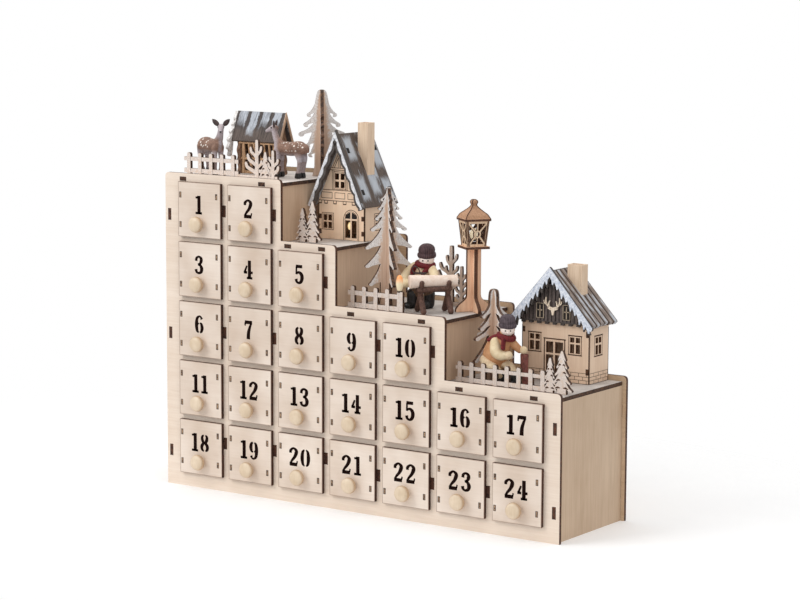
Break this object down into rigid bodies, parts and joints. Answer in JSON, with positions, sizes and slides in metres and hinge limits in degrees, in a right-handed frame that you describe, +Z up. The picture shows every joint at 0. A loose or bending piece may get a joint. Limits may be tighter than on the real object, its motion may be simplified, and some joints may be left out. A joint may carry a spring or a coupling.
{
  "type": "advent calendar",
  "caption": "Stepped wooden advent calendar with numbered sliding drawers and a snowy village scene of houses, trees, fences, deer and figures on its steps.",
  "frame": {"origin": "middle of the bounding box in plan, on the surface that the case stands on", "axes": "+X along the drawer rows towards the lowest step, -Y towards the person who opens the drawers, +Z up"},
  "size_m": [0.402, 0.1358, 0.3457],
  "materials": {
    "front_plywood": "sanded plywood, laser-cut edges scorched dark",
    "board_plywood": "raw plywood",
    "drawer_plywood": "sanded plywood with a scorched edge and a black stencilled number",
    "pale_grey_paint": "matt pale grey paint",
    "snow_paint": "brushed matt white paint over plywood",
    "house_plywood": "raw plywood with scorched lines",
    "dark_roof_stain": "dark stain dry-brushed with white",
    "tree_plywood": "plywood with white brushed tips and scorched edges",
    "lantern_plywood": "plywood, part dry-brushed with white",
    "brown_fur": "matt painted brown coat with white spots",
    "cream_cloth": "matt painted figure in cream clothes",
    "tan_cloth": "matt painted figure in a tan coat",
    "black_plastic": "moulded",
    "switch_plastic": "moulded"
  },
  "bodies": {
    "case": {"front_panel": "front_plywood", "back_panel": "board_plywood", "left_side": "board_plywood", "divider_1": "board_plywood", "divider_2": "board_plywood", "divider_3": "board_plywood", "divider_4": "board_plywood", "divider_5": "board_plywood", "divider_6": "board_plywood", "right_side": "board_plywood", "top_board": "pale_grey_paint", "shelf_1": "pale_grey_paint", "shelf_2": "pale_grey_paint", "shelf_3": "pale_grey_paint", "shelf_4": "board_plywood", "base_board": "board_plywood", "battery_box": "black_plastic", "house_walls": "house_plywood", "house_roof": "dark_roof_stain", "chalet_walls": "house_plywood", "chalet_roof": "dark_roof_stain", "hay_shed": "lantern_plywood", "lantern": "lantern_plywood", "tree_1": "tree_plywood", "tree_2": "tree_plywood", "tree_3": "tree_plywood", "fence_1": "snow_paint", "fence_2": "snow_paint", "fence_3": "snow_paint", "woodcutter": "cream_cloth", "seated_figure": "tan_cloth", "deer_left": "brown_fur", "deer_right": "brown_fur", "fir_pair": "snow_paint", "bare_tree": "snow_paint"},
    "drawer_01": {"drawer_01": "drawer_plywood"},
    "drawer_02": {"drawer_02": "drawer_plywood"},
    "drawer_03": {"drawer_03": "drawer_plywood"},
    "drawer_04": {"drawer_04": "drawer_plywood"},
    "drawer_05": {"drawer_05": "drawer_plywood"},
    "drawer_06": {"drawer_06": "drawer_plywood"},
    "drawer_07": {"drawer_07": "drawer_plywood"},
    "drawer_08": {"drawer_08": "drawer_plywood"},
    "drawer_09": {"drawer_09": "drawer_plywood"},
    "drawer_10": {"drawer_10": "drawer_plywood"},
    "drawer_11": {"drawer_11": "drawer_plywood"},
    "drawer_12": {"drawer_12": "drawer_plywood"},
    "drawer_13": {"drawer_13": "drawer_plywood"},
    "drawer_14": {"drawer_14": "drawer_plywood"},
    "drawer_15": {"drawer_15": "drawer_plywood"},
    "drawer_16": {"drawer_16": "drawer_plywood"},
    "drawer_17": {"drawer_17": "drawer_plywood"},
    "drawer_18": {"drawer_18": "drawer_plywood"},
    "drawer_19": {"drawer_19": "drawer_plywood"},
    "drawer_20": {"drawer_20": "drawer_plywood"},
    "drawer_21": {"drawer_21": "drawer_plywood"},
    "drawer_22": {"drawer_22": "drawer_plywood"},
    "drawer_23": {"drawer_23": "drawer_plywood"},
    "drawer_24": {"drawer_24": "drawer_plywood"},
    "power_switch": {"power_switch": "switch_plastic"}
  },
  "joints": [
    {"name": "drawer_01_slide", "type": "slide", "parent": "case", "child": "drawer_01", "axis": [0, -1, 0], "range_m": [0, 0.08]},
    {"name": "drawer_02_slide", "type": "slide", "parent": "case", "child": "drawer_02", "axis": [0, -1, 0], "range_m": [0, 0.08]},
    {"name": "drawer_03_slide", "type": "slide", "parent": "case", "child": "drawer_03", "axis": [0, -1, 0], "range_m": [0, 0.08]},
    {"name": "drawer_04_slide", "type": "slide", "parent": "case", "child": "drawer_04", "axis": [0, -1, 0], "range_m": [0, 0.08]},
    {"name": "drawer_05_slide", "type": "slide", "parent": "case", "child": "drawer_05", "axis": [0, -1, 0], "range_m": [0, 0.08]},
    {"name": "drawer_06_slide", "type": "slide", "parent": "case", "child": "drawer_06", "axis": [0, -1, 0], "range_m": [0, 0.08]},
    {"name": "drawer_07_slide", "type": "slide", "parent": "case", "child": "drawer_07", "axis": [0, -1, 0], "range_m": [0, 0.08]},
    {"name": "drawer_08_slide", "type": "slide", "parent": "case", "child": "drawer_08", "axis": [0, -1, 0], "range_m": [0, 0.08]},
    {"name": "drawer_09_slide", "type": "slide", "parent": "case", "child": "drawer_09", "axis": [0, -1, 0], "range_m": [0, 0.08]},
    {"name": "drawer_10_slide", "type": "slide", "parent": "case", "child": "drawer_10", "axis": [0, -1, 0], "range_m": [0, 0.08]},
    {"name": "drawer_11_slide", "type": "slide", "parent": "case", "child": "drawer_11", "axis": [0, -1, 0], "range_m": [0, 0.08]},
    {"name": "drawer_12_slide", "type": "slide", "parent": "case", "child": "drawer_12", "axis": [0, -1, 0], "range_m": [0, 0.08]},
    {"name": "drawer_13_slide", "type": "slide", "parent": "case", "child": "drawer_13", "axis": [0, -1, 0], "range_m": [0, 0.08]},
    {"name": "drawer_14_slide", "type": "slide", "parent": "case", "child": "drawer_14", "axis": [0, -1, 0], "range_m": [0, 0.08]},
    {"name": "drawer_15_slide", "type": "slide", "parent": "case", "child": "drawer_15", "axis": [0, -1, 0], "range_m": [0, 0.08]},
    {"name": "drawer_16_slide", "type": "slide", "parent": "case", "child": "drawer_16", "axis": [0, -1, 0], "range_m": [0, 0.08]},
    {"name": "drawer_17_slide", "type": "slide", "parent": "case", "child": "drawer_17", "axis": [0, -1, 0], "range_m": [0, 0.08]},
    {"name": "drawer_18_slide", "type": "slide", "parent": "case", "child": "drawer_18", "axis": [0, -1, 0], "range_m": [0, 0.08]},
    {"name": "drawer_19_slide", "type": "slide", "parent": "case", "child": "drawer_19", "axis": [0, -1, 0], "range_m": [0, 0.08]},
    {"name": "drawer_20_slide", "type": "slide", "parent": "case", "child": "drawer_20", "axis": [0, -1, 0], "range_m": [0, 0.08]},
    {"name": "drawer_21_slide", "type": "slide", "parent": "case", "child": "drawer_21", "axis": [0, -1, 0], "range_m": [0, 0.08]},
    {"name": "drawer_22_slide", "type": "slide", "parent": "case", "child": "drawer_22", "axis": [0, -1, 0], "range_m": [0, 0.08]},
    {"name": "drawer_23_slide", "type": "slide", "parent": "case", "child": "drawer_23", "axis": [0, -1, 0], "range_m": [0, 0.08]},
    {"name": "drawer_24_slide", "type": "slide", "parent": "case", "child": "drawer_24", "axis": [0, -1, 0], "range_m": [0, 0.08]},
    {"name": "power_switch_slide", "type": "slide", "parent": "case", "child": "power_switch", "axis": [1, 0, 0], "range_m": [0, 0.004]}
  ]
}
